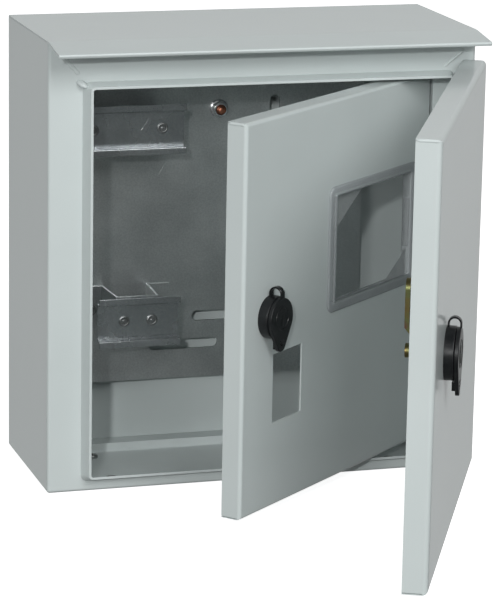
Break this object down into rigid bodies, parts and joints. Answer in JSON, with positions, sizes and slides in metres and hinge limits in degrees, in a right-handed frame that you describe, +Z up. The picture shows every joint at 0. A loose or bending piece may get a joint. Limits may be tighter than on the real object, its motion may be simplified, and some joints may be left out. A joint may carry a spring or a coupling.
{
  "type": "subpanel enclosure",
  "caption": "Wall-mounted steel sub-panel enclosure with rain canopy, solid outer door, recessed inner door with window and device cut-out, mounting plate and rails.",
  "frame": {"origin": "centre of the back face, on the wall plane", "axes": "+X to the right seen from the front, +Z up, +Y into the wall; the front faces -Y"},
  "size_m": [0.3033, 0.3923, 0.31],
  "materials": {
    "painted_steel": "satin powder coat, fine orange peel",
    "galvanised_steel": "dull galvanised",
    "rivet_steel": "satin",
    "bright_steel": "bright zinc",
    "copper_plated": "copper plated",
    "yellow_zinc": "yellow passivated zinc",
    "die_cast": "nickel",
    "black_plastic": "satin moulded",
    "clear_plastic": "clear",
    "rubber": "matt",
    "foam": "closed-cell foam"
  },
  "bodies": {
    "box": {"back_panel": "painted_steel", "body_wrap": "painted_steel", "bracket_rivets": "rivet_steel", "cable_grommet_left": "rubber", "cable_grommet_right": "rubber", "gland_plate": "painted_steel", "gland_screws": "bright_steel", "hinge_strip": "painted_steel", "inner_hinge_leaf_bottom": "painted_steel", "inner_hinge_leaf_top": "painted_steel", "inner_hinge_pin_bottom": "bright_steel", "inner_hinge_pin_top": "bright_steel", "keeper_strip": "painted_steel", "mounting_plate": "galvanised_steel", "outer_hinge_leaf_bottom": "painted_steel", "outer_hinge_leaf_top": "painted_steel", "outer_hinge_pin_bottom": "bright_steel", "outer_hinge_pin_top": "bright_steel", "plate_nuts": "bright_steel", "plate_spacers": "bright_steel", "plate_studs": "copper_plated", "rail_bracket_lower": "galvanised_steel", "rail_bracket_upper": "galvanised_steel", "rail_lower": "galvanised_steel", "rail_rivets_lower": "rivet_steel", "rail_rivets_upper": "rivet_steel", "rail_upper": "galvanised_steel", "top_canopy": "painted_steel"},
    "inner_cam": {"inner_cam_screw": "yellow_zinc", "inner_lock_cam": "yellow_zinc", "inner_lock_core": "die_cast"},
    "inner_lid": {"inner_cap_lid": "black_plastic"},
    "inner_door": {"inner_cap_ring": "black_plastic", "inner_cap_strap": "black_plastic", "inner_door_panel": "painted_steel", "inner_hinge_bush_bottom": "painted_steel", "inner_hinge_bush_top": "painted_steel", "inner_lock_housing": "die_cast", "inner_lock_nut": "yellow_zinc", "inner_window": "clear_plastic"},
    "outer_cam": {"outer_cam_screw": "yellow_zinc", "outer_lock_cam": "yellow_zinc", "outer_lock_core": "die_cast"},
    "outer_lid": {"outer_cap_lid": "black_plastic"},
    "outer_door": {"outer_cap_ring": "black_plastic", "outer_cap_strap": "black_plastic", "outer_door_gasket": "foam", "outer_door_panel": "painted_steel", "outer_hinge_bush_bottom": "painted_steel", "outer_hinge_bush_top": "painted_steel", "outer_lock_housing": "die_cast", "outer_lock_nut": "yellow_zinc"}
  },
  "joints": [
    {"name": "outer_door_hinge", "type": "hinge", "parent": "box", "child": "outer_door", "pos_m": [0.1439, -0.12856, 0], "axis": [0, 0, 1], "range_deg": [-63.9, 56.1]},
    {"name": "inner_door_hinge", "type": "hinge", "parent": "box", "child": "inner_door", "pos_m": [0.12193, -0.095, 0], "axis": [0, 0, 1], "range_deg": [-41.04, 36.1]},
    {"name": "outer_lock_turn", "type": "hinge", "parent": "outer_door", "child": "outer_cam", "pos_m": [0.0533, -0.33506, -0.012], "axis": [0.898, -0.4399, 0], "range_deg": [0, 90]},
    {"name": "inner_lock_turn", "type": "hinge", "parent": "inner_door", "child": "inner_cam", "pos_m": [-0.0305, -0.23353, -0.009], "axis": [0.6566, -0.7543, 0], "range_deg": [0, 90]},
    {"name": "outer_lid_flip", "type": "hinge", "parent": "outer_door", "child": "outer_lid", "pos_m": [0.05797, -0.33735, 0.0112], "axis": [-0.4399, -0.898, 0], "range_deg": [0, 175], "deforming": ["outer_cap_strap"]},
    {"name": "inner_lid_flip", "type": "hinge", "parent": "inner_door", "child": "inner_lid", "pos_m": [-0.02686, -0.23772, 0.0111], "axis": [-0.7543, -0.6566, 0], "range_deg": [0, 175], "deforming": ["inner_cap_strap"]}
  ],
  "couplings": [
    {"joint": "inner_door_hinge", "follows": "outer_door_hinge", "ratio": 0.6422}
  ]
}
